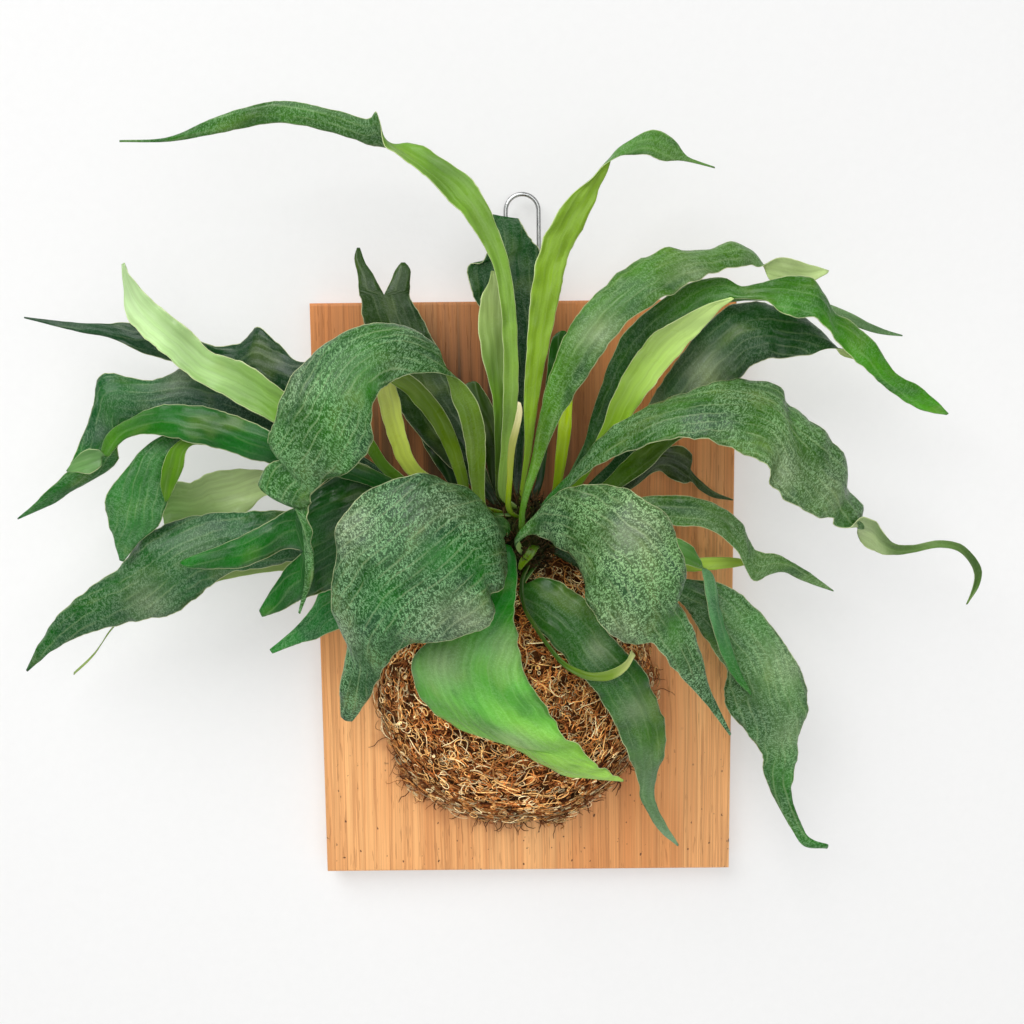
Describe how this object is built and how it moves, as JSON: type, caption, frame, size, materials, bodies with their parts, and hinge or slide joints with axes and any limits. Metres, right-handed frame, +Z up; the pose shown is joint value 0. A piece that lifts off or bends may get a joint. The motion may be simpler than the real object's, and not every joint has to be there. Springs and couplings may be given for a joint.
{
  "type": "mounted staghorn fern",
  "caption": "Staghorn fern growing from a ball of roots and moss on a wooden board, with a wire loop at the top to hang it on a wall.",
  "frame": {"origin": "centre of the board's flat back face", "axes": "+X to the viewer's right across the board, +Y out of the board's back into the wall, +Z up"},
  "size_m": [0.6241, 0.1661, 0.5189],
  "materials": {
    "board_wood": "smooth sanded cedar, unvarnished, with a straight upright grain",
    "wire": "plain galvanised wire",
    "root_fibre": "matted brown roots and moss, dull and loose",
    "crown_scales": "papery tan scales",
    "leaf_deep": "satin deep bluish green frond with a dusting of fine whitish hairs",
    "leaf_mid": "satin mid green frond with a dusting of fine whitish hairs",
    "leaf_pale": "satin pale yellow-green frond with a dusting of fine whitish hairs",
    "leaf_bright": "satin fresh green frond with a dusting of fine whitish hairs",
    "leaf_cream": "satin cream frond with a dusting of fine whitish hairs"
  },
  "bodies": {
    "root": {"board": "board_wood", "hanger_loop": "wire", "root_ball": "root_fibre", "crown": "crown_scales", "frond_tall_left": "leaf_pale", "frond_tall_right": "leaf_pale", "frond_dark_upright": "leaf_deep", "frond_folded_upright": "leaf_pale", "frond_young": "leaf_cream", "frond_back_leaf_right": "leaf_mid", "frond_back_strap_right": "leaf_pale", "frond_right_arch": "leaf_mid", "frond_right_folded_dark": "leaf_deep", "frond_right_folded_pale": "leaf_pale", "frond_right_broad_dark": "leaf_deep", "frond_right_front_arch": "leaf_mid", "frond_right_small_wavy": "leaf_deep", "frond_right_middle": "leaf_mid", "frond_crown_folded": "leaf_pale", "frond_right_narrow": "leaf_pale", "frond_right_twisted": "leaf_mid", "frond_right_low": "leaf_mid", "frond_front_right": "leaf_mid", "frond_low_middle": "leaf_mid", "frond_low_middle_curl": "leaf_pale", "frond_low_bright": "leaf_bright", "frond_front_left": "leaf_mid", "frond_left_over_arch": "leaf_mid", "frond_back_antler": "leaf_deep", "frond_back_strap_left": "leaf_pale", "frond_far_left_dark": "leaf_deep", "frond_left_light": "leaf_pale", "frond_far_left_blue": "leaf_deep", "frond_left_green_arch": "leaf_bright", "frond_left_hanging_light": "leaf_pale", "frond_left_hanging_dark": "leaf_mid", "frond_left_olive": "leaf_pale", "frond_left_low": "leaf_mid", "frond_left_tined": "leaf_mid", "frond_left_low_lobe": "leaf_mid", "frond_left_thin_tail": "leaf_pale", "frond_back_leaf_left": "leaf_deep", "frond_small_cupped": "leaf_mid", "frond_right_hidden_strap": "leaf_pale", "frond_right_thin_tip": "leaf_deep"}
  },
  "joints": []
}
